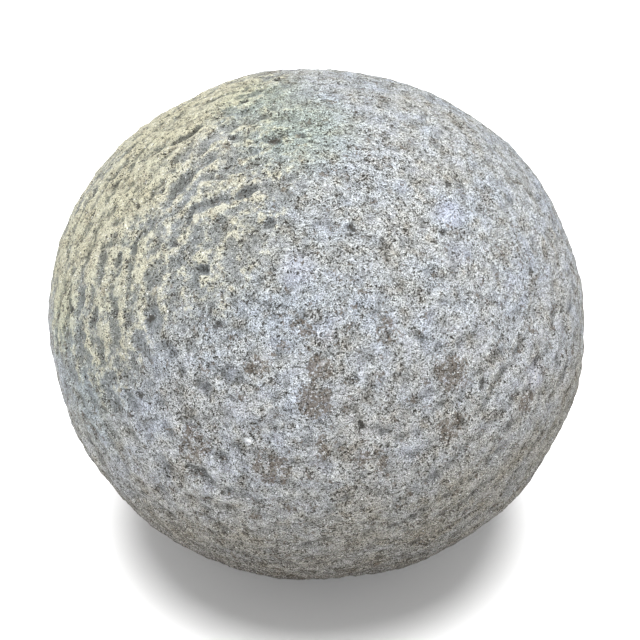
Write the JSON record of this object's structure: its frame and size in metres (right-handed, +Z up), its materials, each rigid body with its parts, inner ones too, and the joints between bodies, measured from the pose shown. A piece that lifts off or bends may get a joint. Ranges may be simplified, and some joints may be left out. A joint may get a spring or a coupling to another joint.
{
  "type": "stone ball",
  "caption": "Hand-dressed solid stone ball, slightly flattened, with a flat bed under it so that it stands without rolling.",
  "frame": {"origin": "on the floor, at the centre of the ball's bounding box seen from above, in the plane of the resting bed", "axes": "+Z up; +X to the right and -Y to the front, as the picture sees the ball from the front and above"},
  "size_m": [0.38, 0.374, 0.35],
  "materials": {
    "dressed_stone": "rough point-dressed speckled grey stone, pitted, with brown stains in its hollows and a cream crust on its upper left ridges"
  },
  "bodies": {
    "root": {"stone_ball": "dressed_stone"}
  },
  "joints": []
}
